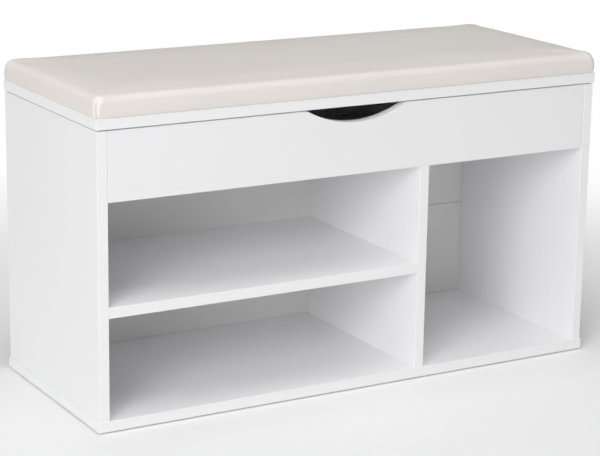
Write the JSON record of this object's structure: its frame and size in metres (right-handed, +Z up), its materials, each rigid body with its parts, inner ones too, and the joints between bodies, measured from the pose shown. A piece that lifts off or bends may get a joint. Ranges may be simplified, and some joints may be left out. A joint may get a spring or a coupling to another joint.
{
  "type": "entryway bench",
  "caption": "Shoe bench with open bays, a storage box under a hinged lid with slotted stays, and a padded leatherette seat.",
  "frame": {"origin": "on the floor, under the middle of the bench's box", "axes": "+X to the right along the bench, -Y out of the front, +Z up"},
  "size_m": [0.8, 0.32, 0.46],
  "materials": {
    "white_melamine": "white melamine-faced board, fine satin texture",
    "white_hardboard": "white-faced hardboard, matt",
    "white_nylon": "moulded, matt",
    "clear_bumper": "soft clear rubber",
    "beech": "fluted beech, unfinished",
    "zinc_cast": "die-cast zinc, matt",
    "zinc_steel": "bright zinc plate",
    "nickel_steel": "nickel plate, satin",
    "grey_nylon": "moulded nylon, satin",
    "cream_leatherette": "smooth cream leatherette, soft sheen",
    "foam": "open-cell foam",
    "raw_board": "raw plywood"
  },
  "bodies": {
    "carcass": {"bottom_board": "white_melamine", "left_side_panel": "white_melamine", "right_side_panel": "white_melamine", "divider_panel": "white_melamine", "shelf_board": "white_melamine", "box_floor": "white_melamine", "front_panel": "white_melamine", "rear_rail": "white_melamine", "lower_back_sheet": "white_hardboard", "upper_back_sheet": "white_hardboard", "glides": "white_nylon", "lid_bumpers": "clear_bumper", "shelf_dowels": "beech", "box_floor_dowels": "beech", "front_panel_dowels": "beech", "rear_rail_dowels": "beech", "shelf_cams": "zinc_cast", "box_floor_cams": "zinc_cast", "front_panel_cams": "zinc_cast", "rear_rail_cams": "zinc_cast", "shelf_cam_bolts": "zinc_steel", "box_floor_cam_bolts": "zinc_steel", "front_panel_cam_bolts": "zinc_steel", "rear_rail_cam_bolts": "zinc_steel", "base_screws": "zinc_steel", "divider_screws": "zinc_steel", "hinge_rail_screws": "zinc_steel", "stay_track_screws": "zinc_steel", "left_hinge_fixed_leaf": "nickel_steel", "left_hinge_pin": "nickel_steel", "left_stay_track": "grey_nylon", "right_hinge_fixed_leaf": "nickel_steel", "right_hinge_pin": "nickel_steel", "right_stay_track": "grey_nylon"},
    "lid": {"lid_board": "white_melamine", "cushion_cover": "cream_leatherette", "cushion_foam": "foam", "cushion_board": "raw_board", "cushion_screws": "zinc_steel", "hinge_lid_screws": "zinc_steel", "stay_bracket_screws": "zinc_steel", "stay_rivets": "zinc_steel", "left_hinge_lid_leaf": "nickel_steel", "right_hinge_lid_leaf": "nickel_steel", "left_stay_bracket": "zinc_steel", "right_stay_bracket": "zinc_steel"},
    "left_stay": {"left_stay_arm": "zinc_steel", "left_stay_stud": "zinc_steel"},
    "right_stay": {"right_stay_arm": "zinc_steel", "right_stay_stud": "zinc_steel"}
  },
  "joints": [
    {"name": "lid_hinge", "type": "hinge", "parent": "carcass", "child": "lid", "pos_m": [0, 0.157, 0.4111], "axis": [-1, 0, 0], "range_deg": [0, 75]},
    {"name": "left_stay_swing", "type": "hinge", "parent": "lid", "child": "left_stay", "pos_m": [-0.377, 0.04729, 0.4031], "axis": [-1, 0, 0], "range_deg": [-150, 0]},
    {"name": "right_stay_swing", "type": "hinge", "parent": "lid", "child": "right_stay", "pos_m": [0.377, 0.04729, 0.4031], "axis": [-1, 0, 0], "range_deg": [-150, 0]}
  ],
  "couplings": [
    {"joint": "left_stay_swing", "follows": "lid_hinge", "ratio": -2},
    {"joint": "right_stay_swing", "follows": "lid_hinge", "ratio": -2}
  ]
}
